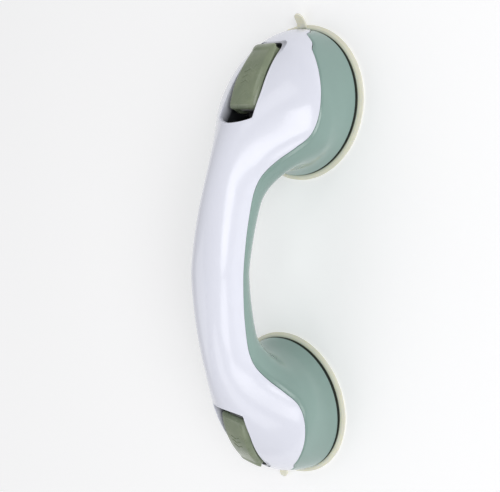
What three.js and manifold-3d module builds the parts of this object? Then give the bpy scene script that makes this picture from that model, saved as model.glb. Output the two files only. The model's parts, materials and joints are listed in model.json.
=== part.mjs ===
// Suction grab bar: a hollow two-shell handle with a quick-release suction cup at each end.
// It lies on its cups: X runs along the grip, Y across it, and Z away from the surface it sticks to.
// The origin is midway between the cups, on the plane of the cup lips. Millimetres.
import * as THREE from 'three';
import { mergeVertices } from 'three/addons/utils/BufferGeometryUtils.js';
import Module from 'manifold-3d';

// ---- driving dimensions ----
const CUP_SPACING = 195;        // between the two cup axes
const BELL_RADIUS = 44;         // outer rim of a bell
const RIM_Z = 4.5;              // height of the bell rims
const GRIP_TOP_Z = 83.2;        // crest of the grip at mid-length
const GRIP_DEPTH = 34;          // grip section, along Z
const GRIP_WIDTH = 33;          // grip section, along Y
const CREST_POWER = 1.78;       // squareness of the crest's arch: 2 is an ellipse
const NECK_HEIGHT = 24;         // rim up to where the underside turns down into a bell's wall
const NECK_UNDERCUT = 2.5;      // that turn lies this far behind the rim
const FLARE = [24, 68];         // degrees along the arch over which the grip widens into the bell
const RIM_FLARE = 0.11;         // share of the widening that is left to the flare at the rim
const RIM_FLARE_POWER = 6;
const EGG = 0.26;               // how far the widest line of a section sits towards its underside
const WALL = 2.4;               // shells
const SEAM_GAP = 0.35;          // between the two shells, along Z
const FIT = 0.3;                // between pieces that touch

const SEAM_DEPTH = 19.8;        // seam below the crest, at mid-length
const LOBE_Z = 29.6;            // seam at the cup axis, where the upper shell laps over a bell
const LOBE_SLOPE = 0.28;        // its fall towards the bell's outer end

const PIN_SINK = 11.8;          // crest of the shell down to the locked lever's pivot
const PIN_RADIUS = 2;
const PIN_PLAY = 0.2;
const TRAVEL = 3.5;             // drop of the stud when the lever is thrown open
const THROW = 85;               // degrees from locked to open
const LEVER_WIDTH = 22.6;
const NOSE_WIDTH = 17;
const TAPER_START = 10;         // pivot to where the lever begins to narrow towards its nose
const LEVER_INNER = 5.6;        // pivot to the heel end
const NOSE_SETBACK = 11.5;      // the lever's nose ends this far short of the bell's outer end
const NOSE_TURN = 3.5;          // the top turns over into the nose this far short of its end
const HEEL_SINK = 4.1;          // top of the heel below the crest
const NOSE_PROUD = 3;           // top of the nose above the crest
const NOSE_DEPTH = 9.6;
const LEVER_BULGE = 2.5;        // rise of the crowned top above a straight line
const LEVER_DEPTH = 9;          // arm, from its top to its underside
const LEVER_SKIN = 2.2;
const LEVER_BEVEL = 2;
const CAM_CHEEK = 5;            // width of each cam cheek

const WELL_GAP = 1.6;           // lever side to well side
const WELL_INNER = 10.8;        // pivot to the corners of the slot's inner edge
const WELL_BOW = 2.6;           // bow of that edge towards the grip
const NOSE_GAP = 0.9;           // nose to the slot's outer edge
const WELL_UNDERCUT = 3.1;      // room for the heel's swing, below the skin
const WELL_WALL = 1.8;
const WELL_DEPTH = 13;          // pivot down to the well's floor
const FLOOR_THICKNESS = 3;
const PLATE_THICKNESS = 1;

const STUD_RADIUS = 4.6;
const STUD_HEAD_RADIUS = 6;
const FLANGE_RADIUS = 11;
const FLANGE_THICKNESS = 2.6;
const FLANGE_Z = 6.4;
const NECK_RADIUS = 6;

const LIP_FLARE = 3;            // lip edge beyond the bell's rim
const LIP_THICKNESS = 1.2;
const SEAL_WIDTH = 7;           // flat sealing land under the lip
const DISH_RISE = 2.4;          // underside of the cup at its middle, locked
const HUB_RADIUS = 13.6;
const HUB_TOP_Z = 10.6;
const TAB_LENGTH = 6;
const TAB_WIDTH = 6;
const TAB_THICKNESS = 1.2;
const TAB_LIFTS = { a: 6, b: 0 };

const DECK_Z = 12;              // underside of the deck across a bell
const DECK_THICKNESS = 2.5;
const DECK_HOLE = 16;           // radius round the hub
const SPRING_WIRE = 1.3;
const SPRING_RADIUS = 8.2;
const SPRING_TURNS = 5;
const WASHER_THICKNESS = 1;

const SCREW_RADIUS = 1.5;
const SCREW_HEAD_RADIUS = 3.3;
const SCREW_HEAD_HEIGHT = 2;
const SCREW_LENGTH = 15;
const BOSS_RADIUS = 4;
const BOSS_CIRCLE = 25;         // radius of the screw circle round the cup axis

const OUTER_STEPS = [40, 32];    // loft steps along the handle and round a section
const CAVITY_STEPS = [28, 24];

// ---- values that follow ----
const CUP_X = CUP_SPACING / 2;
const END_X = CUP_X + BELL_RADIUS;
const ARCH_X = CUP_X - BELL_RADIUS;
const CREST_RISE = GRIP_TOP_Z - RIM_Z;
const UNDER_Z = GRIP_TOP_Z - GRIP_DEPTH;
const NECK = [ARCH_X + NECK_UNDERCUT, RIM_Z + NECK_HEIGHT];
const LIP_RADIUS = BELL_RADIUS + LIP_FLARE;
const PIN_Z = crestHeight(CUP_X) - PIN_SINK;
const LEVER_OUTER = BELL_RADIUS - NOSE_SETBACK;
const WELL_OUTER = LEVER_OUTER + NOSE_GAP;
const HEEL_TOP_Z = crestHeight(CUP_X - LEVER_INNER) - HEEL_SINK;
const NOSE_TOP_Z = crestHeight(CUP_X + LEVER_OUTER - NOSE_TURN) + NOSE_PROUD;
const WELL_FLOOR_Z = PIN_Z - WELL_DEPTH;
const PLATE_TOP_Z = WELL_FLOOR_Z + FIT + PLATE_THICKNESS;
const CAM_RADIUS = PIN_Z - PLATE_TOP_Z - 2 * FIT;
const LEVER_HALF = LEVER_WIDTH / 2;
const WELL_HALF = LEVER_HALF + WELL_GAP;
const SLOT_HALF = LEVER_HALF - CAM_CHEEK;
const HEAD_HALF = SLOT_HALF - FIT;

const COLOURS = {
  upper_shell: [0xe6e8f4, 0.25, 0],
  lower_shell: [0x91aaa2, 0.2, 0],
  lever: [0x87917a, 0.4, 0],
  suction_cup: [0xe9e6d6, 0.35, 0],
  stud: [0xd9dad4, 0.45, 0],
  steel: [0xb8bcc0, 0.3, 1],
};

const wasm = await Module();
wasm.setup();

// ---- joining and cutting ----
function solid(geometry) {
  const bare = geometry.clone();
  bare.deleteAttribute('normal');
  bare.deleteAttribute('uv');
  const merged = mergeVertices(bare, 1e-4);
  return new wasm.Manifold(new wasm.Mesh({
    numProp: 3,
    vertProperties: merged.attributes.position.array,
    triVerts: Uint32Array.from(merged.index.array),
  }));
}

function geometryOf(body) {
  const mesh = body.getMesh();
  const geometry = new THREE.BufferGeometry();
  geometry.setAttribute('position', new THREE.BufferAttribute(mesh.vertProperties, 3));
  geometry.setIndex(new THREE.BufferAttribute(mesh.triVerts, 1));
  return geometry;
}

// A side-view outline, given as [x, z] points or a Shape, carried across Y and centred on it.
function acrossY(outline, width, bevel = 0) {
  const shape = Array.isArray(outline)
    ? new THREE.Shape(outline.map(([x, z]) => new THREE.Vector2(x, z)))
    : outline;
  const geometry = new THREE.ExtrudeGeometry(shape, {
    depth: width - 2 * bevel,
    curveSegments: 10,
    bevelEnabled: bevel > 0,
    bevelThickness: bevel,
    bevelSize: bevel,
    bevelOffset: -bevel,
    bevelSegments: 2,
  });
  geometry.translate(0, 0, bevel - width / 2);
  geometry.rotateX(Math.PI / 2);
  return geometry;
}

// A profile of [radius, z] points turned about Z.
function turned(profile, segments = 32) {
  const points = profile.map(([radius, z]) => new THREE.Vector2(radius, z));
  const geometry = new THREE.LatheGeometry(points, segments);
  geometry.rotateX(Math.PI / 2);
  return geometry;
}

function upright(radius, bottom, top, x = 0, y = 0, segments = 24) {
  const geometry = new THREE.CylinderGeometry(radius, radius, top - bottom, segments);
  geometry.rotateX(Math.PI / 2);
  geometry.translate(x, y, (top + bottom) / 2);
  return geometry;
}

// ---- the handle's outer form ----
// Height of the crest over a place along the grip: a superellipse that ends at the rims.
function crestHeight(x) {
  const share = 1 - Math.abs(x / END_X) ** CREST_POWER;
  return RIM_Z + CREST_RISE * share ** (1 / CREST_POWER);
}

// The crest and the underside are walked by one angle, from 0 at mid-length to 90 degrees at a rim.
function crestPoint(angle) {
  const size = Math.abs(angle);
  const along = END_X * Math.sin(size) ** (2 / CREST_POWER);
  const up = CREST_RISE * Math.max(Math.cos(size), 0) ** (2 / CREST_POWER);
  return new THREE.Vector2(Math.sign(angle) * along, RIM_Z + up);
}

// The underside falls from mid-grip to each neck, then runs down the bell's inner wall.
const underside = mirroredSpline([
  [0, UNDER_Z],
  [0.54 * NECK[0], THREE.MathUtils.lerp(NECK[1], UNDER_Z, 0.81)],
  [0.83 * NECK[0], THREE.MathUtils.lerp(NECK[1], UNDER_Z, 0.48)],
  NECK,
  [NECK[0] + 1, THREE.MathUtils.lerp(NECK[1], RIM_Z, 0.54)],
  [ARCH_X, RIM_Z],
]);

function mirroredSpline(half) {
  const mirrored = half.slice(1).reverse().map(([x, z]) => [-x, z]);
  return new THREE.SplineCurve([...mirrored, ...half].map(([x, z]) => new THREE.Vector2(x, z)));
}

function undersidePoint(angle) {
  return underside.getPoint(THREE.MathUtils.clamp(0.5 + angle / Math.PI, 0, 1));
}

// A point of a curve moved square to it, to the left of its direction of travel.
function movedAcross(curve, angle, distance) {
  const step = 0.002;
  const direction = curve(angle + step).sub(curve(angle - step)).normalize();
  return curve(angle).add(new THREE.Vector2(-direction.y, direction.x).multiplyScalar(distance));
}

function halfWidth(angle) {
  const degrees = Math.abs(THREE.MathUtils.radToDeg(angle));
  const flare = THREE.MathUtils.smoothstep(degrees, ...FLARE);
  const share = (1 - RIM_FLARE) * flare + RIM_FLARE * (degrees / 90) ** RIM_FLARE_POWER;
  return THREE.MathUtils.lerp(GRIP_WIDTH / 2, BELL_RADIUS, share);
}

// One egg-shaped section between the crest and the underside, shrunk all round by inset.
function sectionRing(angle, inset, around) {
  const limit = Math.PI / 2;
  const inside = Math.min(Math.abs(angle), limit - 0.003) * Math.sign(angle);
  const top = movedAcross(crestPoint, inside, -inset);
  const under = movedAcross(undersidePoint, inside, inset);
  if (Math.abs(angle) >= limit) {
    top.set(Math.sign(angle) * (END_X - inset), RIM_Z);
    under.set(Math.sign(angle) * (ARCH_X + inset), RIM_Z);
  }
  const middle = top.clone().add(under).multiplyScalar(0.5);
  const reach = top.clone().sub(middle);
  const half = halfWidth(angle) - inset;
  const egg = EGG * Math.abs(Math.sin(2 * angle));
  const ring = [];
  for (let i = 0; i < around; i += 1) {
    const turn = 2 * Math.PI * i / around;
    const across = half * Math.sin(turn) * (1 - egg * Math.cos(turn));
    const place = reach.clone().multiplyScalar(Math.cos(turn)).add(middle);
    ring.push(new THREE.Vector3(place.x, across, place.y));
  }
  return ring;
}

// A closed skin through rings of equal length, with a flat cap at each end.
function loft(rings) {
  const count = rings[0].length;
  const points = rings.flat();
  const index = [];
  for (let r = 0; r + 1 < rings.length; r += 1) {
    for (let i = 0; i < count; i += 1) {
      const next = (i + 1) % count;
      const [a, b] = [r * count + i, r * count + next];
      const [c, d] = [a + count, b + count];
      index.push(a, c, b, b, c, d);
    }
  }
  const last = (rings.length - 1) * count;
  for (let i = 1; i + 1 < count; i += 1) {
    index.push(0, i, i + 1);
    index.push(last, last + i + 1, last + i);
  }
  const geometry = new THREE.BufferGeometry().setFromPoints(points);
  geometry.setIndex(index);
  return geometry;
}

function handleRings(inset, [along, around]) {
  return Array.from({ length: along + 1 }, (_, i) => {
    return sectionRing(Math.PI * (i / along - 0.5), inset, around);
  });
}

function outerForm() {
  return solid(loft(handleRings(0, OUTER_STEPS)));
}

// The hollow inside a wall, run out through both rims so that it opens downwards.
function cavity(wall) {
  const rings = handleRings(wall, CAVITY_STEPS);
  const sunk = (ring) => ring.map((p) => p.clone().setZ(p.z - RIM_Z));
  return solid(loft([sunk(rings[0]), ...rings, sunk(rings[rings.length - 1])]));
}

// Everything above the seam line, or everything below it when shifted down by the seam's gap.
function seamBlock(above) {
  const seamMidZ = GRIP_TOP_Z - SEAM_DEPTH;
  const lobe = (outward) => LOBE_Z - LOBE_SLOPE * outward;
  const half = [
    [0, seamMidZ],
    [0.2 * CUP_X, seamMidZ - 1],
    [CUP_X - 62, seamMidZ - 3.4],
    [CUP_X - 51, lobe(0) + 27.7],
    [CUP_X - 42, lobe(0) + 24.1],
    [CUP_X - 34, lobe(0) + 18.2],
    [CUP_X - 26, lobe(0) + 10.8],
    [CUP_X - 18, lobe(-18)],
    [CUP_X, lobe(0)],
    [CUP_X + 13, lobe(13)],
    [END_X - 20, lobe(24)],
    [END_X - 14.5, lobe(24) - 1.9],
    [END_X - 11, lobe(24) - 4.8],
    [END_X - 5, RIM_Z + 10],
    [END_X - 2.2, RIM_Z + 4],
    [END_X - 0.4, RIM_Z + 0.2],
    [END_X + 3, RIM_Z - 6],
  ];
  const line = mirroredSpline(half).getPoints(half.length * 6);
  const drop = above ? 0 : SEAM_GAP;
  const outline = line.map((p) => [p.x, p.y - drop]);
  const far = above ? 2 * GRIP_TOP_Z : -GRIP_TOP_Z;
  outline.push([END_X + 3, far], [-END_X - 3, far]);
  return solid(acrossY(outline, 4 * BELL_RADIUS));
}

// ---- one end's well, bosses and deck, about its own cup axis ----
function wellOutline(grow) {
  const top = 2 * GRIP_TOP_Z;
  const under = grow > 0 ? FLOOR_THICKNESS : 0;
  const floor = WELL_FLOOR_Z - under;
  const noseFloor = Math.min(NOSE_TOP_Z - NOSE_DEPTH - 3.3, WELL_FLOOR_Z) - under;
  const deep = WELL_INNER + WELL_UNDERCUT + grow;
  return [
    [-WELL_INNER - grow, top],
    [-WELL_INNER - grow, PIN_Z + 12.5],
    [-deep, PIN_Z + 6],
    [-deep, floor + 2.5],
    [-deep + 2, floor],
    [WELL_DEPTH + 1, floor],
    [WELL_OUTER - 2 + grow, noseFloor],
    [WELL_OUTER + grow, noseFloor + 2],
    [WELL_OUTER + grow, top],
  ];
}

// Seen from above, the lever and its slot narrow towards the nose, and their ends are rounded.
function taperedPlan(inner, outer, grow) {
  const wide = LEVER_HALF + grow;
  const narrow = NOSE_WIDTH / 2 + grow;
  const round = 4;
  const shape = new THREE.Shape();
  shape.moveTo(-inner, -wide + 2);
  shape.quadraticCurveTo(-inner, -wide, -inner + 2, -wide);
  shape.lineTo(TAPER_START, -wide);
  shape.lineTo(outer - round, -narrow);
  shape.quadraticCurveTo(outer, -narrow + 1, outer, -narrow + round);
  shape.lineTo(outer, narrow - round);
  shape.quadraticCurveTo(outer, narrow - 1, outer - round, narrow);
  shape.lineTo(TAPER_START, wide);
  shape.lineTo(-inner + 2, wide);
  shape.quadraticCurveTo(-inner, wide, -inner, wide - 2);
  shape.quadraticCurveTo(-inner - 1, 0, -inner, -wide + 2);
  return shape;
}

function raised(shape, bottom, top) {
  const options = { depth: top - bottom, bevelEnabled: false, curveSegments: 5 };
  return solid(new THREE.ExtrudeGeometry(shape, options).translate(0, 0, bottom));
}

function slotBow(grow) {
  const half = WELL_HALF + grow;
  const edge = -WELL_INNER - grow;
  const shape = new THREE.Shape();
  shape.moveTo(edge + 3, -half);
  shape.lineTo(edge, -half);
  shape.quadraticCurveTo(edge - 2 * WELL_BOW, 0, edge, half);
  shape.lineTo(edge + 3, half);
  return raised(shape, PIN_Z + 4, 2 * GRIP_TOP_Z);
}

function wellBlock(grow) {
  const side = solid(acrossY(wellOutline(grow), 2 * (WELL_HALF + grow)));
  const plan = taperedPlan(2 * BELL_RADIUS, WELL_OUTER + grow, WELL_GAP + grow);
  return side.intersect(raised(plan, 0, 2 * GRIP_TOP_Z)).add(slotBow(grow));
}

function screwSpots() {
  return [90, 180, 270].map((degrees) => {
    const angle = THREE.MathUtils.degToRad(degrees);
    return [BOSS_CIRCLE * Math.cos(angle), BOSS_CIRCLE * Math.sin(angle)];
  });
}

// A body made about the cup axis, set at both ends of the bar.
function atBothEnds(body) {
  return body.translate([CUP_X, 0, 0]).add(body.translate([CUP_X, 0, 0]).rotate([0, 0, 180]));
}

function upperShell(outer, skin) {
  const bossFoot = DECK_Z + DECK_THICKNESS + FIT;
  let inside = wellBlock(WELL_WALL);
  let cuts = wellBlock(0).add(solid(upright(STUD_RADIUS + 0.5, 0, PIN_Z)));
  for (const [x, y] of screwSpots()) {
    inside = inside.add(solid(upright(BOSS_RADIUS, bossFoot, GRIP_TOP_Z, x, y, 16)));
    const pilotTop = DECK_Z + SCREW_LENGTH + 2 * FIT;
    cuts = cuts.add(solid(upright(SCREW_RADIUS + FIT, 0, pilotTop, x, y, 12)));
  }
  return skin.intersect(seamBlock(true))
    .add(atBothEnds(inside).intersect(outer))
    .subtract(atBothEnds(cuts));
}

function lowerShell(outer, skin) {
  let deck = solid(upright(BELL_RADIUS, DECK_Z, DECK_Z + DECK_THICKNESS, 0, 0, 48));
  deck = deck.subtract(solid(upright(DECK_HOLE, 0, 2 * DECK_Z, 0, 0, 32)));
  for (const [x, y] of screwSpots()) {
    deck = deck.subtract(solid(upright(SCREW_RADIUS + FIT, 0, 2 * DECK_Z, x, y, 12)));
  }
  const bosses = screwSpots().map(([x, y]) => solid(upright(BOSS_RADIUS + FIT, 0, GRIP_TOP_Z, x, y, 16)));
  const room = bosses.reduce((all, one) => all.add(one), wellBlock(WELL_WALL + FIT));
  const lowerSide = seamBlock(false);
  const tongueRoom = outer.subtract(cavity(WALL + FIT)).subtract(lowerSide);
  const rootedDeck = atBothEnds(deck).intersect(cavity(WALL / 2));
  return skin.intersect(lowerSide)
    .subtract(atBothEnds(room))
    .add(rootedDeck.subtract(tongueRoom));
}

// ---- the quick-release mechanism, about a cup axis ----
// The cam's radius shrinks evenly as the lever turns from locked to open.
function camPoint(degrees) {
  const share = THREE.MathUtils.clamp((-90 - degrees) / THROW, 0, 1);
  const radius = CAM_RADIUS - TRAVEL * share;
  const angle = THREE.MathUtils.degToRad(degrees);
  return [radius * Math.cos(angle), PIN_Z + radius * Math.sin(angle)];
}

function leverTop(share) {
  const from = new THREE.Vector2(-LEVER_INNER, HEEL_TOP_Z);
  const to = new THREE.Vector2(LEVER_OUTER - NOSE_TURN, NOSE_TOP_Z);
  const place = from.clone().lerp(to, share);
  const across = to.clone().sub(from).normalize();
  const rise = 4 * LEVER_BULGE * share * (1 - share);
  return [place.x - across.y * rise, place.y + across.x * rise];
}

function lever() {
  const shares = [0, 0.125, 0.25, 0.375, 0.5, 0.625, 0.75, 0.875, 1];
  const top = shares.map(leverTop);
  const [turnX, turnZ] = top[top.length - 1];
  const nose = [
    [turnX + 2.2, turnZ - 2],
    [LEVER_OUTER, turnZ - 5.2],
    [LEVER_OUTER - 0.8, turnZ - 8],
    [LEVER_OUTER - 4, turnZ - NOSE_DEPTH],
  ];
  const under = [0.8, 0.6].map(leverTop).map(([x, z]) => [x - 2, z - LEVER_DEPTH]);
  const cam = [-35, -50, -65, -80, -95, -110, -125, -140, -155, -170, -185].map(camPoint);
  const outline = [...top, ...nose, ...under, ...cam, [-LEVER_INNER - 0.6, PIN_Z + 6]];
  const plan = taperedPlan(CAM_RADIUS, LEVER_OUTER, 0);
  const body = solid(acrossY(outline.reverse(), LEVER_WIDTH, LEVER_BEVEL))
    .intersect(raised(plan, 0, 2 * GRIP_TOP_Z));
  const slotTop = PIN_Z + STUD_HEAD_RADIUS + FIT;
  const slot = solid(acrossY([
    [-2 * LEVER_INNER, 0],
    [STUD_HEAD_RADIUS + 2 * FIT, 0],
    [STUD_HEAD_RADIUS + 2 * FIT, slotTop],
    [-2 * LEVER_INNER, slotTop],
  ], 2 * SLOT_HALF));
  const ceiling = [0.45, 0.6, 0.75, 0.9].map(leverTop).map(([x, z]) => [x, z - LEVER_SKIN]);
  const end = ceiling[ceiling.length - 1];
  const hollow = solid(acrossY([
    [ceiling[0][0], 0],
    [end[0], 0],
    ...ceiling.reverse(),
  ], NOSE_WIDTH - 2 * LEVER_SKIN));
  return body.subtract(slot).subtract(hollow).subtract(pinHole());
}

function pinHole() {
  return solid(pin(PIN_RADIUS + PIN_PLAY, 2 * LEVER_WIDTH));
}

function pin(radius, length) {
  const geometry = new THREE.CylinderGeometry(radius, radius, length, 24);
  return geometry.translate(0, 0, PIN_Z);
}

function stud() {
  const shank = turned([
    [0, FLANGE_Z],
    [FLANGE_RADIUS, FLANGE_Z],
    [FLANGE_RADIUS, FLANGE_Z + FLANGE_THICKNESS],
    [NECK_RADIUS, FLANGE_Z + FLANGE_THICKNESS],
    [NECK_RADIUS, HUB_TOP_Z + FIT],
    [STUD_RADIUS, HUB_TOP_Z + FIT],
    [STUD_RADIUS, PIN_Z],
    [0, PIN_Z],
  ]);
  const disc = new THREE.CylinderGeometry(STUD_HEAD_RADIUS, STUD_HEAD_RADIUS, 2 * HEAD_HALF, 32);
  disc.translate(0, 0, PIN_Z);
  return solid(shank).add(solid(disc)).subtract(pinHole());
}

function camPlate() {
  const plate = new THREE.BoxGeometry(2 * (WELL_DEPTH - 4), 2 * (WELL_HALF - FIT), PLATE_THICKNESS);
  plate.translate(0, 0, PLATE_TOP_Z - PLATE_THICKNESS / 2);
  return solid(plate).subtract(solid(upright(STUD_RADIUS + 0.5, 0, PIN_Z)));
}

function washer() {
  const bottom = HUB_TOP_Z + 2 * FIT;
  const outer = upright(SPRING_RADIUS + 2, bottom, bottom + WASHER_THICKNESS);
  return solid(outer).subtract(solid(upright(STUD_RADIUS + FIT, 0, PIN_Z)));
}

class Helix extends THREE.Curve {
  constructor(radius, turns, bottom, top) {
    super();
    Object.assign(this, { radius, turns, bottom, top });
  }

  getPoint(share, target = new THREE.Vector3()) {
    const angle = 2 * Math.PI * this.turns * share;
    const z = THREE.MathUtils.lerp(this.bottom, this.top, share);
    return target.set(this.radius * Math.cos(angle), this.radius * Math.sin(angle), z);
  }
}

function springBottom() {
  return HUB_TOP_Z + 3 * FIT + WASHER_THICKNESS + SPRING_WIRE / 2;
}

function spring() {
  const top = WELL_FLOOR_Z - FLOOR_THICKNESS - FIT - SPRING_WIRE / 2;
  const path = new Helix(SPRING_RADIUS, SPRING_TURNS, springBottom(), top);
  const wire = new THREE.Shape().absarc(0, 0, SPRING_WIRE / 2, 0, 2 * Math.PI);
  return new THREE.ExtrudeGeometry(wire, {
    steps: SPRING_TURNS * 12,
    curveSegments: 3,
    extrudePath: path,
  });
}

function screw([x, y]) {
  const seat = DECK_Z - FIT;
  const head = upright(SCREW_HEAD_RADIUS, seat - SCREW_HEAD_HEIGHT, seat, x, y, 16);
  const shank = upright(SCREW_RADIUS, seat - 1, seat + SCREW_LENGTH, x, y, 12);
  return solid(head).add(solid(shank));
}

// ---- the suction cup: one soft moulding with a socket for the stud's flange ----
function suctionCup(tabLift) {
  const landInner = LIP_RADIUS - SEAL_WIDTH;
  const socket = FLANGE_RADIUS + FIT;
  const backZ = RIM_Z - FIT;
  const cup = solid(turned([
    [0, DISH_RISE],
    [landInner / 3, 0.9 * DISH_RISE],
    [2 * landInner / 3, 0.5 * DISH_RISE],
    [landInner, 0],
    [LIP_RADIUS - 0.4, 0],
    [LIP_RADIUS, 0.5],
    [LIP_RADIUS - 0.2, LIP_THICKNESS],
    [BELL_RADIUS + 0.6, 0.6 * backZ],
    [BELL_RADIUS - 1.6, 0.62 * backZ],
    [BELL_RADIUS - 2, backZ],
    [BELL_RADIUS - 8, backZ],
    [0.6 * BELL_RADIUS, 6],
    [HUB_RADIUS + 2, HUB_TOP_Z - 1.6],
    [HUB_RADIUS, HUB_TOP_Z],
    [NECK_RADIUS + FIT, HUB_TOP_Z],
    [NECK_RADIUS + FIT, FLANGE_Z + FLANGE_THICKNESS + FIT],
    [socket, FLANGE_Z + FLANGE_THICKNESS + FIT],
    [socket, FLANGE_Z - FIT],
    [0, FLANGE_Z - FIT],
  ], 40));
  return cup.add(solid(pullTab(tabLift)));
}

// A thin tongue at the outer edge of the lip, bent up by the given lift.
function pullTab(lift) {
  const root = LIP_RADIUS - 2;
  const tip = LIP_RADIUS + TAB_LENGTH;
  const low = 0.1;
  const side = [0, 0.4, 0.7, 1].map((share) => {
    return [THREE.MathUtils.lerp(root, tip, share), low + lift * share ** 2];
  });
  const back = side.map(([x, z]) => [x, z + TAB_THICKNESS]).reverse();
  return acrossY([...side, ...back], TAB_WIDTH);
}

// ---- assembly ----
function mesh(name, geometry, look) {
  const [color, roughness, metalness] = COLOURS[look];
  const piece = new THREE.Mesh(geometry, new THREE.MeshStandardMaterial({ color, roughness, metalness }));
  piece.name = name;
  return piece;
}

function endGroup(end) {
  const group = new THREE.Group();
  group.position.x = end === 'a' ? CUP_X : -CUP_X;
  group.rotation.z = end === 'a' ? 0 : Math.PI;
  group.add(mesh(`lever_${end}`, geometryOf(lever()), 'lever'));
  group.add(mesh(`lever_pin_${end}`, pin(PIN_RADIUS, LEVER_WIDTH - 0.4), 'steel'));
  group.add(mesh(`stud_${end}`, geometryOf(stud()), 'stud'));
  group.add(mesh(`cam_plate_${end}`, geometryOf(camPlate()), 'steel'));
  group.add(mesh(`hub_washer_${end}`, geometryOf(washer()), 'steel'));
  group.add(mesh(`return_spring_${end}`, spring(), 'steel'));
  group.add(mesh(`suction_cup_${end}`, geometryOf(suctionCup(TAB_LIFTS[end])), 'suction_cup'));
  screwSpots().forEach((spot, i) => {
    group.add(mesh(`shell_screw_${end}${i + 1}`, geometryOf(screw(spot)), 'steel'));
  });
  return group;
}

function grabBar() {
  const outer = outerForm();
  const skin = outer.subtract(cavity(WALL));
  const bar = new THREE.Group();
  bar.add(mesh('upper_shell', geometryOf(upperShell(outer, skin)), 'upper_shell'));
  bar.add(mesh('lower_shell', geometryOf(lowerShell(outer, skin)), 'lower_shell'));
  bar.add(endGroup('a'));
  bar.add(endGroup('b'));
  return bar;
}

export default grabBar();
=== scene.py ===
"""Suction grab bar: an arched two-tone handle on two suction cups, with a flip lever on each bell.

X runs along the grip, Y across it, and Z away from the surface that the cups stick to. Metres.
"""

import json
import math

import bpy
import numpy as np
from bpy.props import FloatProperty, FloatVectorProperty, IntProperty, PointerProperty
from mathutils import Matrix, Vector


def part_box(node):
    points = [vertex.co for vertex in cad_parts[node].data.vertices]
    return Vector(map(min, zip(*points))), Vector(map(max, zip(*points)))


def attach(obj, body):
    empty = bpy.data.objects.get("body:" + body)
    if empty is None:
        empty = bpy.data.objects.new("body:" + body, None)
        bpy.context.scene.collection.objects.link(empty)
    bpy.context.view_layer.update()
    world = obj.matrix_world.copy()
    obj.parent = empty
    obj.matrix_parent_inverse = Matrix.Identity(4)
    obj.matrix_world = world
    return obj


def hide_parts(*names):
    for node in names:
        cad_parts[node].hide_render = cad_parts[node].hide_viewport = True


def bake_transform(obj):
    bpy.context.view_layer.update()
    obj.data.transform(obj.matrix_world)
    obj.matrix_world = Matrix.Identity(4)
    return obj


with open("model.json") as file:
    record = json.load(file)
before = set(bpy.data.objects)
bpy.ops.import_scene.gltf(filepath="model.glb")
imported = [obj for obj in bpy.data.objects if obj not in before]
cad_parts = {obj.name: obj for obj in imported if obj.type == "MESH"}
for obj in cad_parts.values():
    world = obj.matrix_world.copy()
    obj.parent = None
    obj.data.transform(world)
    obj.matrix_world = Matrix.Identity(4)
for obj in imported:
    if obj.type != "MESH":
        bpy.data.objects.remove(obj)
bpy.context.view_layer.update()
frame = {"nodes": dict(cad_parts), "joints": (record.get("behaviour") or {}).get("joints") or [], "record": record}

bl_info = {
    "name": "Suction Grab Bar",
    "version": (1, 0, 0),
    "blender": (4, 5, 0),
    "location": "3D View > Sidebar > Grab Bar",
    "description": "Builds an arched grab bar with suction cups and flip levers",
    "category": "Object",
}

ENDS = {"a": 1, "b": -1}
FLIPS = {j["child"]: j for j in frame["joints"] if j["type"] == "hinge"}
SLOTS = {row["node"]: row["material_slot"] for row in frame["record"]["subparts"]}
SHELL_LOW, SHELL_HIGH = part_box("lower_shell")
GRIP_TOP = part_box("upper_shell")[1].z
LEVER_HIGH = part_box("lever_a")[1]
CUP_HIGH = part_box("suction_cup_a")[1]
PIVOT = Vector(FLIPS["lever_a"]["pos_m"])

# Arch angles run from 0 at the crest to 90 degrees at a bell's rim.
FLARE_DEGREES = 24, 68
LAST_ROW_DEGREES = 88.8
RIM_MARGIN = 0.003
# Section angles run from 0 at the top of a section to 180 degrees at its underside.
LEAST_SEAM_DEGREES = 12
SHELL_COLUMNS = {"upper": 72, "lower": 96}
STUD_HOLE = 0.0051
WELL_WALL = 0.0030
# The slot's lip above the pivot at the cup axis, and its fall per metre outwards; they place the well's painted
# shade.
LIP_ABOVE_PIVOT = 0.0077
LIP_FALL = 0.57


# ---- settings ----
def length(name, description, default):
    return FloatProperty(
        name=name, description=description, default=default, min=0.0, unit="LENGTH", precision=5)


def colour(name, description, default):
    return FloatVectorProperty(
        name=name, description=description, default=default, size=3, min=0.0, max=1.0,
        subtype="COLOR")


def share(name, description, default):
    return FloatProperty(name=name, description=description, default=default, min=0.0, max=1.0)


class HandleSettings(bpy.types.PropertyGroup):
    """Sizes of the arched handle and its two bells."""
    cup_axis: length("Cup axis", "Middle of the bar to a cup's axis", PIVOT.x)
    bell_radius: length("Bell radius", "Rim of a bell", SHELL_HIGH.y)
    rim_height: length("Rim height", "Underside of the bell rims", SHELL_LOW.z)
    grip_top: length("Grip top", "Crest of the grip at mid-length", GRIP_TOP)
    grip_depth: length("Grip depth", "Grip section along Z", 0.034)
    grip_width: length("Grip width", "Grip section along Y", 0.033)
    crest_power: FloatProperty(
        name="Crest squareness", description="2 is an ellipse", default=1.78, min=1.0, max=4.0)
    egg: share("Egg", "How far a section is widest towards its underside", 0.26)
    rim_flare: share("Rim flare", "Share of the widening that is left to the rim", 0.11)
    wall: length("Wall", "Thickness of the shells", 0.0024)
    seam_gap: length("Seam gap", "Between the two shells", 0.00042)
    seam_depth: length("Seam depth", "Seam below the crest at mid-length", 0.0198)
    lap_height: length("Lap height", "Seam at a cup axis", 0.0296)
    lap_slope: share("Lap slope", "Fall of the seam towards a bell's outer end", 0.28)
    edge_roll: length("Edge roll", "Rounding of the shells' seam edges", 0.0005)
    rows: IntProperty(name="Rows", description="Steps along the handle", default=190, min=40)


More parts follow.
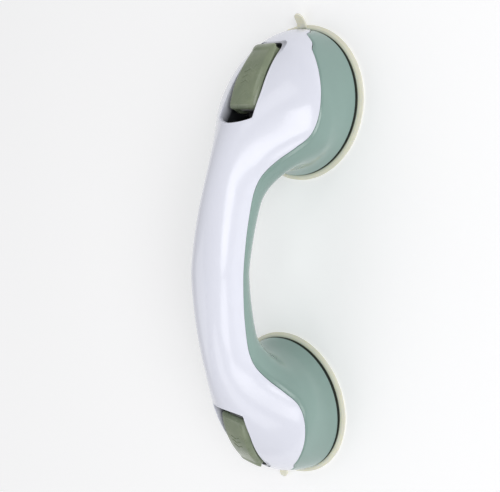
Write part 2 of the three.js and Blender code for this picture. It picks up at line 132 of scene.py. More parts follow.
class LeverSettings(bpy.types.PropertyGroup):
    """Sizes of a flip lever and the well that it sits in, measured from the pivot."""
    half_width: length("Half width", "Half of the width at the heel", LEVER_HIGH.y - 0.0007)
    nose_half: length("Nose half width", "Half of its width at the nose", 0.0090)
    heel: length("Heel", "Pivot to the heel end", 0.0056)
    nose: length("Nose", "Pivot to the nose", LEVER_HIGH.x - PIVOT.x)
    heel_rise: length("Heel rise", "Top of the heel above the pivot", 0.0097)
    nose_drop: length("Nose drop", "Top of the nose below the pivot", 0.0075)
    bulge: length("Bulge", "Rise of the top above a straight line", 0.0029)
    crown: length("Crown", "Fall of the top from its middle to its sides", 0.0007)
    depth: length("Depth", "Top to underside of the arm", 0.009)
    shoulder: length("Shoulder", "Sloped and rounded edge of the top", 0.0030)
    rebate: length("Rebate", "Step in under the shoulder", 0.0009)
    cam_radius: length("Cam radius", "Pivot to the cam's foot when locked", 0.0111)
    travel: length("Travel", "Drop of the stud when the lever is open", 0.0035)
    cheek: length("Cheek", "Width of a cam cheek", 0.0029)
    gap: length("Gap", "Lever side to well side", 0.0023)
    nose_gap: length("Nose gap", "The same beside the nose", 0.0009)
    well_inner: length("Slot inner edge", "Pivot to the corners of the slot's inner edge", 0.0108)
    well_bow: length("Slot bow", "Bow of that edge towards the grip", 0.0026)
    well_deep: length("Undercut", "Pivot to the well's inner wall, under the skin", 0.0139)
    well_floor: length("Well floor", "Pivot down to the well's floor", 0.013)


class CupSettings(bpy.types.PropertyGroup):
    """Sizes of a suction cup and its stud."""
    lip_radius: length("Lip radius", "Edge of the cup's lip", CUP_HIGH.y)
    dish: length("Dish", "Underside of the cup at its middle", 0.0024)
    tab_width: length("Tab width", "Release tab", 0.006)
    tab_thickness: length("Tab thickness", "Release tab", 0.0012)
    tab_lift: length("Tab lift", "How far the tab at end a is bent up", 0.006)
    head_radius: length("Stud head", "Disc round the pivot", 0.006)
    pin_radius: length("Pin radius", "Cross pin", 0.002)


class FinishSettings(bpy.types.PropertyGroup):
    """Colours and gloss of the finishes."""
    white: colour("Upper shell", "Cool white gloss plastic", (0.80, 0.815, 0.91))
    green: colour("Lower shell", "Grey green gloss plastic", (0.245, 0.36, 0.325))
    lever: colour("Lever", "Olive sage satin plastic", (0.205, 0.252, 0.165))
    vinyl: colour("Cup", "Cream soft vinyl", (0.84, 0.83, 0.70))
    # This inner band colour, darkened to near black, is also the painted shade under the bell's rim.
    vinyl_inner: colour("Cup inner band", "Vinyl close to the bell", (0.55, 0.61, 0.50))
    steel: colour("Steel", "Zinc plated steel", (0.62, 0.63, 0.65))
    stud: colour("Stud", "Natural moulded plastic", (0.70, 0.71, 0.67))
    floor: colour("Floor", "Plain pale floor", (0.93, 0.93, 0.94))


def handle_settings():
    return bpy.context.scene.grab_bar_handle


def lever_settings():
    return bpy.context.scene.grab_bar_lever


def cup_settings():
    return bpy.context.scene.grab_bar_cup


def finish_settings():
    return bpy.context.scene.grab_bar_finish


# ---- modelling helpers ----
def only(obj):
    """Selects obj alone and makes it active."""
    bpy.ops.object.select_all(action="DESELECT")
    obj.select_set(True)
    bpy.context.view_layer.objects.active = obj


def begin_edit(obj, kind="VERT"):
    only(obj)
    bpy.ops.object.mode_set(mode="EDIT")
    bpy.ops.mesh.select_mode(type=kind)
    bpy.ops.mesh.select_all(action="SELECT")


def end_edit():
    bpy.ops.object.mode_set(mode="OBJECT")


def named(name):
    obj = bpy.context.object
    obj.name = name
    obj.data.name = name
    return obj


def close_up(obj, distance=2e-6):
    """Merges doubles, drops what is left loose and turns the faces outwards."""
    begin_edit(obj)
    bpy.ops.mesh.remove_doubles(threshold=distance)
    bpy.ops.mesh.dissolve_degenerate(threshold=1e-7)
    bpy.ops.mesh.delete_loose()
    bpy.ops.mesh.select_all(action="SELECT")
    bpy.ops.mesh.normals_make_consistent(inside=False)
    end_edit()
    if enclosed(obj) < 0:
        begin_edit(obj)
        bpy.ops.mesh.flip_normals()
        end_edit()
    return obj


def enclosed(obj):
    """Volume inside a closed mesh, negative where its faces point inwards."""
    total = 0.0
    corners = [v.co for v in obj.data.vertices]
    for face in obj.data.polygons:
        first, *rest = (corners[i] for i in face.vertices)
        total += sum(first.dot(a.cross(b)) for a, b in zip(rest, rest[1:]))
    return total / 6


def smooth(obj, degrees=35):
    only(obj)
    bpy.ops.object.shade_smooth_by_angle(angle=math.radians(degrees))
    return obj


def applied(obj, kind, **options):
    """Adds a modifier with these options and applies it."""
    only(obj)
    modifier = obj.modifiers.new(kind.title(), kind)
    for option, value in options.items():
        setattr(modifier, option, value)
    bpy.ops.object.modifier_apply(modifier=modifier.name)
    return obj


def bevelled(obj, width, segments=2, degrees=50):
    return applied(obj, "BEVEL", width=width, segments=segments, limit_method="ANGLE",
                   angle_limit=math.radians(degrees))


def cut(obj, cutter):
    applied(obj, "BOOLEAN", operation="DIFFERENCE", object=cutter, solver="EXACT")
    bpy.data.objects.remove(cutter)
    return obj


def joined(obj, others):
    only(obj)
    for other in others:
        other.select_set(True)
    bpy.ops.object.join()
    return obj


def copy_of(obj, name):
    only(obj)
    bpy.ops.object.duplicate(linked=False)
    return named(name)


def placed(obj, matrix):
    """Moves obj and puts its place into its mesh."""
    obj.matrix_world = matrix
    only(obj)
    bpy.ops.object.transform_apply(location=True, rotation=True, scale=True)
    return obj


def end_matrix(end):
    """From a place about the cup axis, with X outwards, to that end of the bar."""
    turn = Matrix.Identity(4) if ENDS[end] > 0 else Matrix.Rotation(math.pi, 4, "Z")
    return turn @ Matrix.Translation((handle_settings().cup_axis, 0, 0))


def sheet_of(name, points):
    """A grid primitive whose rows and columns are laid on points, shaped (rows, columns, 3)."""
    rows, columns = points.shape[:2]
    bpy.ops.object.select_all(action="DESELECT")
    bpy.ops.mesh.primitive_grid_add(x_subdivisions=columns - 1, y_subdivisions=rows - 1, size=1)
    obj = named(name)
    flat = np.zeros(len(obj.data.vertices) * 3, np.float32)
    obj.data.vertices.foreach_get("co", flat)
    flat = flat.reshape(-1, 3)
    column = np.rint((flat[:, 0] + 0.5) * (columns - 1)).astype(int)
    row = np.rint((flat[:, 1] + 0.5) * (rows - 1)).astype(int)
    obj.data.vertices.foreach_set("co", points[row, column].astype(np.float32).ravel())
    obj.data.update()
    return obj


def lofted(name, loops):
    """A closed body through outlines of (count, 3) points, each joined end to end."""
    points = np.stack(loops)
    points = np.concatenate([points, points[:, :1]], 1)
    return close_up(sheet_of(name, points))


def outline_of(name, points, filled=False):
    """A circle primitive whose corners are laid on points, shaped (count, 3)."""
    fill = "NGON" if filled else "NOTHING"
    bpy.ops.object.select_all(action="DESELECT")
    bpy.ops.mesh.primitive_circle_add(vertices=len(points), radius=1, fill_type=fill)
    obj = named(name)
    for vertex, point in zip(obj.data.vertices, points):
        vertex.co = point
    obj.data.update()
    return obj


def prism(name, outline, shift):
    """A closed outline carried along shift."""
    obj = outline_of(name, outline, filled=True)
    begin_edit(obj, "FACE")
    bpy.ops.mesh.extrude_region_move(TRANSFORM_OT_translate={"value": tuple(shift)})
    end_edit()
    return close_up(obj)


def turned(name, profile, steps=72):
    """A profile of (radius, height) points spun about Z."""
    obj = outline_of(name, [(r, 0, z) for r, z in profile])
    begin_edit(obj)
    bpy.ops.mesh.spin(steps=steps, angle=2 * math.pi, center=(0, 0, 0), axis=(0, 0, 1))
    end_edit()
    return close_up(obj)


def catmull(points, steps):
    """A smooth line through points, with so many steps between neighbours."""
    points = np.array(points, float)
    last = len(points) - 1
    place = np.linspace(0, last, last * steps + 1)
    left = np.minimum(place.astype(int), last - 1)
    part = (place - left)[:, None]
    before, at, after, far = (points[np.clip(left + k, 0, last)] for k in (-1, 0, 1, 2))
    return 0.5 * (2 * at + (after - before) * part
                  + (2 * before - 5 * at + 4 * after - far) * part ** 2
                  + (3 * at - before - 3 * after + far) * part ** 3)


def mirrored(half):
    return [(-x, z) for x, z in half[:0:-1]] + list(half)


def even_ring(half, count):
    """Half an outline and its mirror image in the X axis, as so many evenly spaced points."""
    whole = np.concatenate([half, (half * (1, -1))[::-1][1:-1]])
    ring = np.concatenate([whole, whole[:1]])
    run = np.concatenate([[0], np.cumsum(np.linalg.norm(np.diff(ring, axis=0), axis=1))])
    place = np.linspace(0, run[-1], count + 1)[:-1]
    return np.stack([np.interp(place, run, ring[:, 0]), np.interp(place, run, ring[:, 1])], 1)


# ---- the handle's form ----
def crest(angle):
    h = handle_settings()
    size = np.abs(angle)
    power = 2 / h.crest_power
    along = np.sign(angle) * (h.cup_axis + h.bell_radius) * np.sin(size) ** power
    rise = (h.grip_top - h.rim_height) * np.maximum(np.cos(size), 0) ** power
    return np.stack([along, h.rim_height + rise], -1)


def underside_line():
    h = handle_settings()
    arch = h.cup_axis - h.bell_radius
    under = h.grip_top - h.grip_depth
    half = [
        (0, under),
        (arch - 0.0235, under - 0.004),
        (arch - 0.0070, under - 0.0107),
        (arch + 0.0025, h.rim_height + 0.024),
        (arch + 0.0035, h.rim_height + 0.011),
        (arch, h.rim_height),
    ]
    return catmull(mirrored(half), 60)


def underside(angle, line):
    place = (angle / math.pi + 0.5) * (len(line) - 1)
    index = np.arange(len(line))
    return np.stack([np.interp(place, index, line[:, 0]), np.interp(place, index, line[:, 1])], -1)


def across(curve, angle, distance):
    """Points of a curve moved square to it."""
    step = 0.002
    direction = curve(angle + step) - curve(angle - step)
    direction /= np.linalg.norm(direction, axis=-1, keepdims=True)
    square = np.stack([-direction[..., 1], direction[..., 0]], -1)
    return curve(angle) + square * distance[..., None]


def section(angle, around, depth, line):
    """Points of the handle's form at these arch angles and section angles, sunk by depth."""
    h = handle_settings()
    limit = math.pi / 2
    inside = np.clip(angle, RIM_MARGIN - limit, limit - RIM_MARGIN)
    top = across(crest, inside, -depth)
    under = across(lambda a: underside(a, line), inside, depth)
    at_rim = (np.abs(angle) >= limit - RIM_MARGIN)[..., None]
    side = np.sign(angle)
    rim = np.full_like(depth, h.rim_height)
    top = np.where(at_rim, np.stack(
        [side * (h.cup_axis + h.bell_radius - depth), rim], -1), top)
    under = np.where(at_rim, np.stack(
        [side * (h.cup_axis - h.bell_radius + depth), rim], -1), under)
    degrees = np.degrees(np.abs(angle))
    begin, end = FLARE_DEGREES
    flare = np.clip((degrees - begin) / (end - begin), 0, 1)
    flare = flare * flare * (3 - 2 * flare)
    widening = (1 - h.rim_flare) * flare + h.rim_flare * (degrees / 90) ** 6
    half = h.grip_width / 2 + (h.bell_radius - h.grip_width / 2) * widening - depth
    egg = h.egg * np.abs(np.sin(2 * angle))
    middle = (top + under) / 2
    reach = top - middle
    turn = np.cos(around)
    place = middle + reach * turn[..., None]
    side_way = half * np.sin(around) * (1 - egg * turn)
    return np.stack([place[..., 0], side_way, place[..., 1]], -1)


def seam_line():
    h = handle_settings()
    middle = h.grip_top - h.seam_depth
    outer = h.cup_axis + h.bell_radius

    def lap(out):
        return h.lap_height - h.lap_slope * out

    end_height = lap(0.024)
    half = [
        (0, middle),
        (0.2 * h.cup_axis, middle - 0.001),
        (h.cup_axis - 0.062, middle - 0.0034),
        (h.cup_axis - 0.051, lap(0) + 0.0277),
        (h.cup_axis - 0.042, lap(0) + 0.0241),
        (h.cup_axis - 0.034, lap(0) + 0.0182),
        (h.cup_axis - 0.026, lap(0) + 0.0108),
        (h.cup_axis - 0.018, lap(-0.018)),
        (h.cup_axis, lap(0)),
        (h.cup_axis + 0.013, lap(0.013)),
        (outer - 0.020, end_height),
        (outer - 0.0145, end_height - 0.0019),
        (outer - 0.011, end_height - 0.0048),
        (outer - 0.005, h.rim_height + 0.010),
        (outer - 0.0022, h.rim_height + 0.004),
        (outer - 0.0004, h.rim_height + 0.0002),
        (outer + 0.003, h.rim_height - 0.006),
    ]
    return catmull(mirrored(half), 16)


def seam_turn(angle, line):
    """Section angle at which the form crosses the seam, for each arch angle."""
    seam = seam_line()
    low = np.zeros_like(angle)
    high = np.full_like(angle, math.pi)
    none = np.zeros_like(angle)
    for _ in range(40):
        guess = (low + high) / 2
        point = section(angle, guess, none, line)
        above = point[..., 2] > np.interp(point[..., 0], seam[:, 0], seam[:, 1])
        low = np.where(above, guess, low)
        high = np.where(above, high, guess)
    return np.maximum((low + high) / 2, math.radians(LEAST_SEAM_DEGREES))


def shell_wall(name, upper):
    """A closed wall over the form above the seam, or below it, with rolled seam edges."""
    h = handle_settings()
    line = underside_line()
    share_along = np.linspace(-1, 1, h.rows + 1)
    angle = math.pi / 2 * (1.25 * share_along - 0.25 * share_along ** 3)
    angle = angle[np.abs(angle) < math.radians(LAST_ROW_DEGREES)]
    angle = np.concatenate([[-math.pi / 2], angle, [math.pi / 2]])
    seam = seam_turn(angle, line)
    none = np.zeros_like(angle)
    step = 1e-3
    pace = np.linalg.norm(
        section(angle, seam + step, none, line) - section(angle, seam - step, none, line),
        axis=-1) / (2 * step)
    first = -seam if upper else seam
    last = seam if upper else 2 * math.pi - seam
    roll = h.edge_roll
    lead = [(roll * (1 - math.sin(a)) + h.seam_gap / 2, roll * (1 - math.cos(a)))
            for a in np.radians([90, 60, 30, 0])]
    ease = 0 if upper else 0.00028
    lead = [(out, down + ease) for out, down in lead]
    lead += [(0.0014, ease), (0.0020, 0.3 * ease), (0.0026, 0)]
    turns, sinks = [], []
    for out, down in lead:
        turns.append(first + out / pace)
        sinks.append(none + down)
    reach = lead[-1][0]
    start = first + reach / pace
    stop = last - reach / pace
    columns = SHELL_COLUMNS["upper" if upper else "lower"]
    for part in np.linspace(0, 1, columns + 2)[1:-1]:
        turns.append(start + (stop - start) * part)
        sinks.append(none)
    for out, down in reversed(lead):
        turns.append(last - out / pace)
        sinks.append(none + down)
    turns = np.stack(turns, 1)
    sinks = np.stack(sinks, 1)
    turns = np.concatenate([turns, turns[:, ::-1], turns[:, :1]], 1)
    inner = np.full_like(sinks, h.wall)
    sinks = np.concatenate([sinks, inner[:, ::-1], sinks[:, :1]], 1)
    angles = np.repeat(angle[:, None], turns.shape[1], 1)
    points = section(angles, turns, sinks, line)
    ends = [0, -1]
    turned_in = 0.0004
    within = np.clip(sinks[ends], turned_in, h.wall - turned_in)
    round_rim = section(angles[ends], turns[ends], within, line)
    points[ends, :, 2] += turned_in
    closing = section(angles[ends], turns[ends], np.full_like(within, h.wall / 2), line)
    points = np.concatenate([closing[:1], round_rim[:1], points, round_rim[1:], closing[1:]])
    return close_up(sheet_of(name, points))


# ---- the slot and its well, about the cup axis ----
def bezier(a, b, c, steps):
    t = np.linspace(0, 1, steps + 1)[:, None]
    return (1 - t) ** 2 * np.array(a) + 2 * t * (1 - t) * np.array(b) + t ** 2 * np.array(c)


def slot_plan(grow, inner, bow, count=96):
    """The slot's outline seen from above, as so many evenly spaced points."""
    v = lever_settings()
    wide = v.half_width + v.gap + grow
    narrow = v.nose_half + v.nose_gap + grow
    outer = v.nose + 0.0005 + grow
    inner = inner + grow
    ease = 0.004
    taper = 0.004
    corner = 0.001
    slope = np.array((outer - ease - taper, wide - narrow))
    half = np.concatenate([
        bezier((-inner - bow, 0), (-inner - bow, -0.5 * wide), (-inner, -wide + corner), 12),
        bezier((-inner, -wide + corner), (-inner, -wide), (-inner + corner, -wide), 4)[1:],
        bezier((taper - 3 * corner, -wide), (taper, -wide), (taper, -wide) + 0.15 * slope, 4),
        bezier((outer - ease, -narrow), (outer, -narrow + corner), (outer, -narrow + ease), 8),
        [(outer, 0)],
    ])
    return even_ring(half, count)


def skin_heights(skin, spots):
    """Height of the skin's top over places given about the cup axis at end a."""
    shift = handle_settings().cup_axis
    heights = []
    for x, y in spots:
        found, place, _, _ = skin.ray_cast((x + shift, y, 1), (0, 0, -1))
        if not found:
            raise RuntimeError("the slot's outline runs off the shell")
        heights.append(place.z)
    return np.array(heights)


def well_heights(x):
    """The well's floor, which falls towards the nose."""
    v = lever_settings()
    floor = PIVOT.z - v.well_floor
    nose_floor = min(PIVOT.z - v.nose_drop - 0.0129, floor)
    part = np.clip((x - 0.014) / (v.nose - 0.0155), 0, 1)
    return floor + (nose_floor - floor) * part


def well_liner(name, skin):
    """The slot's rolled lip, the well's walls and its floor with the stud's hole, as one body."""
    v = lever_settings()
    slot = v.well_inner, v.well_bow
    throat = v.well_inner + 0.0006, v.well_bow
    deep = v.well_deep, 0.0004
    rolled_lip = ((0.0016, -0.0002), (0.0011, 0.00006), (0.0006, 0.00016), (0.0002, 0.00008),
                  (0.0, -0.0003))
    rounded_foot = ((0, 0.0020), (0.00025, 0.0008), (0.0009, 0.0002), (0.0018, 0.0))
    outwards = rolled_lip[0][0]

    def level(plan, heights):
        return np.column_stack([plan, heights])

    lip = slot_plan(0, *slot)
    angle = np.arctan2(lip[:, 1], lip[:, 0])
    circle = np.column_stack([STUD_HOLE * np.cos(angle), STUD_HOLE * np.sin(angle)])
    surface = skin_heights(skin, lip)
    loops = []
    for grow, rise in rolled_lip:
        plan = slot_plan(grow, *slot)
        loops.append(level(plan, skin_heights(skin, plan) + rise))
    loops.append(level(lip, surface - 0.0024))
    shoulder = np.minimum(surface - 0.0030, PIVOT.z + 0.0115)
    loops.append(level(slot_plan(0, *throat), shoulder))
    under = np.minimum(surface - 0.0045, PIVOT.z + 0.0075)
    well = slot_plan(0, *deep)
    loops.append(level(well, under))
    base = well_heights(well[:, 0])
    for inset, rise in rounded_foot:
        plan = slot_plan(-inset, *deep)
        loops.append(level(plan, well_heights(plan[:, 0]) + rise))
    floor = np.full(len(circle), PIVOT.z - v.well_floor)
    loops.append(level(circle, floor))
    loops.append(level(circle, floor - WELL_WALL))
    outside = slot_plan(outwards, *deep)
    loops.append(level(outside, base - WELL_WALL))
    loops.append(level(outside, np.minimum(surface - 0.0040, under)))
    hidden = slot_plan(outwards, *throat)
    loops.append(level(hidden, np.minimum(surface - 0.0018, shoulder + 0.0008)))
    return lofted(name, loops + loops[:1])


def slot_cutter():
    v = lever_settings()
    plan = slot_plan(0.0004, v.well_inner, v.well_bow)
    return prism("slot cutter", [(x, y, 0) for x, y in plan], (0, 0, 0.2))


# ---- the lever, about its pivot at the cup axis ----
def lever_top(part):
    v = lever_settings()
    start = np.array((-v.heel, PIVOT.z + v.heel_rise))
    stop = np.array((v.nose - 0.0035, PIVOT.z - v.nose_drop))
    way = (stop - start) / np.linalg.norm(stop - start)
    part = np.asarray(part)[..., None]
    square = np.array((-way[1], way[0]))
    return start + (stop - start) * part + square * 4 * v.bulge * part * (1 - part)


def lever_plan(inset, count=112):
    """The arm's outline seen from above, drawn in by inset, as so many evenly spaced points."""
    v = lever_settings()
    wide, narrow = v.half_width - inset, v.nose_half - inset
    heel, nose = v.heel - inset, v.nose - inset
    heel_turn = max(0.0030 - inset, 0.0003)
    nose_turn = max(0.0034 - inset, 0.0006)
    parallel = 0.008
    along = np.linspace(parallel, nose - nose_turn, 9)
    side = wide + (narrow - wide) * ((along - parallel) / (nose - parallel)) ** 1.25
    half = np.concatenate([
        [(-heel, 0)],
        bezier((-heel, -wide + heel_turn), (-heel, -wide), (-heel + heel_turn, -wide), 8),
        np.column_stack([along, -side]),
        bezier((along[-1], -side[-1]), (nose, -narrow), (nose, -narrow + nose_turn), 10)[1:],
        [(nose, 0)],
    ])
    return even_ring(half, count)


def arm_heights(plan):
    """Height of the arm's crowned top over these places."""
    v = lever_settings()
    curve = lever_top(np.linspace(0, 1, 60))
    past = np.maximum(0, plan[:, 0] - curve[-1, 0])
    slope, curl = 0.20, 90
    top = np.interp(plan[:, 0], curve[:, 0], curve[:, 1]) - slope * past - curl * past ** 2
    return top - v.crown * (plan[:, 1] / v.half_width) ** 2


def to_spine(plan, part):
    """The plan drawn in by part of the way to the arm's middle line."""
    v = lever_settings()
    spine = np.clip(plan[:, 0], 0.004 - v.heel, v.nose - 0.005)
    return np.column_stack([plan[:, 0] + (spine - plan[:, 0]) * part, plan[:, 1] * (1 - part)])


def lever_arm(name):
    """The arm: a crowned top, sloped and rounded shoulders, and a hollow between thin skirts."""
    v = lever_settings()
    across_shoulder = ((1, 0), (0.88, 0.02), (0.78, 0.07), (0.35, 0.42), (0.2, 0.57), (0.09, 0.74),
                       (0.02, 0.86), (0, 0.98), (0.06, 1.04), (v.rebate / v.shoulder, 1.06))
    under_skirt = ((0, 0.0004), (0.0001, 0.0001), (0.0004, 0), (0.0010, 0), (0.0013, 0.0001),
                   (0.0014, 0.0004))
    skin = 0.0025
    into_roof = ((0.0016, skin + 0.0006), (0.0020, skin + 0.0002), (0.0026, skin))
    plain = lever_plan(0)[:, 0]
    deepening = np.clip((plain - 0.0055) / 0.003, 0, 1)
    loops = []

    def over(plan, drop):
        loops.append(np.column_stack([plan, arm_heights(plan) - drop]))

    def skirt(inset, rise):
        plan = lever_plan(inset)
        deep = arm_heights(plan) - v.depth
        near = np.minimum(PIVOT.z + 0.0054, arm_heights(plan) - 1.1 * v.shoulder - 0.0009)
        bottom = near + (deep - near) * deepening
        plan[:, 0] -= 0.5 * np.maximum(0, plan[:, 0] - v.nose + 0.006)
        loops.append(np.column_stack([plan, bottom + rise]))

    brow = lever_plan(v.shoulder)
    for part in (1, 0.66, 0.33):
        over(to_spine(brow, part), 0)
    nose_part = np.clip((plain - v.nose + 0.009) / 0.007, 0, 1)
    ease = v.shoulder * (1 - 0.45 * nose_part)
    for inset, drop in across_shoulder:
        over(lever_plan(v.shoulder * inset), ease * drop)
    for inset, rise in under_skirt:
        skirt(v.rebate + inset, rise)
    for inset, drop in into_roof:
        roof = lever_plan(v.rebate + inset)
        over(roof, drop)
    for part in (0.5, 1):
        over(to_spine(roof, part), skin)
    return lofted(name, loops)


def cam_outline():
    v = lever_settings()
    points = []
    for degrees in np.linspace(-35, -185, 31):
        part = min(max((-90 - degrees) / 85, 0), 1)
        radius = v.cam_radius - v.travel * part
        angle = math.radians(degrees)
        points.append((radius * math.cos(angle), radius * math.sin(angle)))
    points += [(-0.0050, 0.0058), (-0.0042, 0.0078), (0.0070, 0.0046), (0.0115, 0.0018)]
    return points


def cam_cheek(name, side):
    """One cam cheek: the cam's outline carried across, with the pin's hole."""
    v = lever_settings()
    outside = side * (v.half_width - v.rebate - 0.00012)
    outline = [(x, outside, PIVOT.z + z) for x, z in cam_outline()]
    cheek = prism(name, outline, (0, -side * v.cheek, 0))
    bevelled(cheek, 0.00045, degrees=60)
    bpy.ops.object.select_all(action="DESELECT")
    bpy.ops.mesh.primitive_cylinder_add(
        vertices=32, radius=cup_settings().pin_radius + 0.0001, depth=0.1,
        location=(0, 0, PIVOT.z), rotation=(math.pi / 2, 0, 0))
    return cut(cheek, bpy.context.object)


def chevron(name, x):
    """A small raised chevron that points to the nose, laid on the lever's top."""
    v = lever_settings()
    arm, thick = 0.0034, 0.0009
    back = x - arm * 0.6
    outline = [(x, 0), (back, arm), (back - thick, arm), (x - thick * 1.3, 0),
               (back - thick, -arm), (back, -arm)]
    mark = prism(name, [(px, py, -0.0006) for px, py in outline], (0, 0, 0.0009))
    curve = lever_top(np.linspace(0, 1, 60))
    for vertex in mark.data.vertices:
        side = vertex.co.y / v.half_width
        top = float(np.interp(vertex.co.x, curve[:, 0], curve[:, 1])) - v.crown * side * side
        vertex.co.z += top
    return bevelled(mark, 0.00018)


def cross_rib(name, x):
    """A thin rib across the lever's hollow."""
    v = lever_settings()
    curve = lever_top(np.linspace(0, 1, 60))
    top = float(np.interp(x, curve[:, 0], curve[:, 1])) - 0.0018
    half = v.nose_half - 0.0012
    outer = x + 0.0011
    rib = prism(name, [(x, -half, top), (outer, -half, top), (outer, -half, top - 0.0052),
                       (x, -half, top - 0.0060)], (0, 2 * half, 0))
    return bevelled(rib, 0.0002)


# ---- the cup and the stud, about the cup axis ----
def cup_body(name):
    c = cup_settings()
    h = handle_settings()
    lip, bell, rim = c.lip_radius, h.bell_radius, h.rim_height
    land = lip - 0.007
    profile = [
        (0, c.dish), (land / 3, 0.9 * c.dish), (2 * land / 3, 0.5 * c.dish),
        (land - 0.003, 0.00025), (land, 0), (lip - 0.0010, 0), (lip - 0.0004, 0.0001),
        (lip - 0.0001, 0.0004), (lip, 0.0007), (lip - 0.0001, 0.0010), (lip - 0.0005, 0.00125),
        (lip - 0.0012, 0.00145), (bell + 0.0006, 0.0024), (bell - 0.0006, 0.00262),
        (bell - 0.0016, 0.00272), (bell - 0.00205, 0.0030), (bell - 0.0022, 0.0036),
        (bell - 0.0026, rim - 0.0004), (bell - 0.0034, rim - 0.0003), (bell - 0.008, rim - 0.0003),
        (0.6 * bell, 0.006), (0.0166, 0.0088), (0.0146, 0.0098), (0.0139, 0.0104),
        (0.0132, 0.0106), (0.0068, 0.0106), (0.0063, 0.0103), (0.0063, 0.0093),
        (0.0113, 0.0093), (0.0113, 0.0061), (0, 0.0061),
    ]
    return turned(name, profile, steps=128)


def release_tab(name, lift):
    """A thin tongue at the outer edge of the lip, with a rounded tip and a few grip ridges."""
    c = cup_settings()
    root = c.lip_radius - 0.0022
    tip = c.lip_radius + 0.006
    rows, columns = 25, 9
    rounding = 0.72
    top = np.zeros((rows, columns, 3))
    for i, part in enumerate(np.linspace(0, 1, rows)):
        x = root + (tip - root) * part
        turned_part = max(part - rounding, 0) / (1 - rounding)
        narrow = 0.2 + 0.8 * math.sqrt(max(1 - turned_part ** 2, 0.0))
        waist = 1 + 0.25 * (1 - part) ** 3
        for j, side in enumerate(np.linspace(-1, 1, columns)):
            y = side * c.tab_width / 2 * narrow * waist
            ridge = 0.00012 * max(0.0, math.cos(2 * math.pi * (x - root) / 0.0015)) * (part > 0.45)
            top[i, j] = (x, y, 0.0002 + c.tab_thickness + lift * part ** 2 + ridge)
    tab = sheet_of(name, top)
    applied(tab, "SOLIDIFY", thickness=c.tab_thickness, offset=-1)
    return bevelled(close_up(tab), 0.00028, segments=3)


def stud_shank(name):
    profile = [
        (0, 0.0064), (0.0105, 0.0064), (0.0110, 0.0069), (0.0110, 0.0086), (0.0106, 0.0090),
        (0.0063, 0.0090), (0.0060, 0.0093), (0.0060, 0.0109), (0.0046, 0.0109),
        (0.0046, PIVOT.z - 0.003), (0.0040, PIVOT.z), (0, PIVOT.z),
    ]
    return turned(name, profile, steps=48)


def across_y(name, radius, width, roll, steps=48):
    """A short bar across Y at the pivot, with rounded ends."""
    half = width / 2
    profile = [(0, -half), (radius - roll, -half), (radius - 0.3 * roll, -half + 0.3 * roll),
               (radius, -half + roll), (radius, half - roll),
               (radius - 0.3 * roll, half - 0.3 * roll), (radius - roll, half), (0, half)]
    bar = turned(name, profile, steps)
    return placed(bar, Matrix.Translation((0, 0, PIVOT.z)) @ Matrix.Rotation(math.pi / 2, 4, "X"))


# ---- finishes ----
class Nodes:
    """A material and short ways to add its nodes."""

    def __init__(self, name):
        self.material = bpy.data.materials.new(name)
        self.material.use_nodes = True
        self.tree = self.material.node_tree
        self.surface = self.tree.nodes["Principled BSDF"]
        self.place = self.add("ShaderNodeTexCoord").outputs["Object"]

    def add(self, kind, **options):
        node = self.tree.nodes.new(kind)
        for option, value in options.items():
            setattr(node, option, value)
        return node

    def link(self, source, target):
        self.tree.links.new(source, target)

    def noise(self, scale, detail=3.0, stretch=(1, 1, 1)):
        mapping = self.add("ShaderNodeMapping")
        mapping.inputs["Scale"].default_value = stretch
        node = self.add("ShaderNodeTexNoise")
        node.inputs["Scale"].default_value = scale
        node.inputs["Detail"].default_value = detail
        self.link(self.place, mapping.inputs["Vector"])
        self.link(mapping.outputs["Vector"], node.inputs["Vector"])
        return node.outputs["Fac"]

    def remap(self, source, low, high, start=0.3, stop=0.7):
        node = self.add("ShaderNodeMapRange")
        node.inputs["From Min"].default_value = start
        node.inputs["From Max"].default_value = stop
        node.inputs["To Min"].default_value = low
        node.inputs["To Max"].default_value = high
        self.link(source, node.inputs["Value"])
        return node.outputs["Result"]

    def blend(self, factor, first, second):
        node = self.add("ShaderNodeMix", data_type="RGBA")
        self.link(factor, node.inputs["Factor"])
        for socket, value in ((node.inputs["A"], first), (node.inputs["B"], second)):
            if isinstance(value, bpy.types.NodeSocket):
                self.link(value, socket)
            else:
                socket.default_value = (*value, 1)
        return node.outputs["Result"]

    def times(self, first, second):
        node = self.add("ShaderNodeMath", operation="MULTIPLY")
        self.link(first, node.inputs[0])
        self.link(second, node.inputs[1])
        return node.outputs["Value"]

    def bumps(self, *layers):
        """Height layers of (source, strength, depth in metres), one on the other."""
        normal = None
        for source, strength, depth in layers:
            node = self.add("ShaderNodeBump")
            node.inputs["Strength"].default_value = strength
            node.inputs["Distance"].default_value = depth
            self.link(source, node.inputs["Height"])
            if normal is not None:
                self.link(normal, node.inputs["Normal"])
            normal = node.outputs["Normal"]
        self.link(normal, self.surface.inputs["Normal"])

    def set(self, **values):
        for name, value in values.items():
            self.surface.inputs[name.replace("_", " ")].default_value = value


def toned(colour_value, factor):
    return tuple(min(1.0, c * factor) for c in colour_value)


def gloss_shell(name, base, tint, rough):
    """Glossy moulded plastic: slight flow in its tone, a faint ripple, and hairline scuffs."""
    n = Nodes(name)
    flow = n.noise(14, 2.0, (1, 2.2, 2.2))
    n.link(n.blend(n.remap(flow, 0, 1), base, tint), n.surface.inputs["Base Color"])
    smudge = n.noise(60, 4.0)
    n.link(n.remap(smudge, rough - 0.035, rough + 0.06), n.surface.inputs["Roughness"])
    scuffs = n.noise(900, 5.0, (0.08, 1, 1))
    n.bumps((n.noise(260, 1.0), 0.25, 0.00003), (scuffs, 0.10, 0.00001))
    n.set(Coat_Weight=0.25, Coat_Roughness=0.06, IOR=1.5)
    return n.material


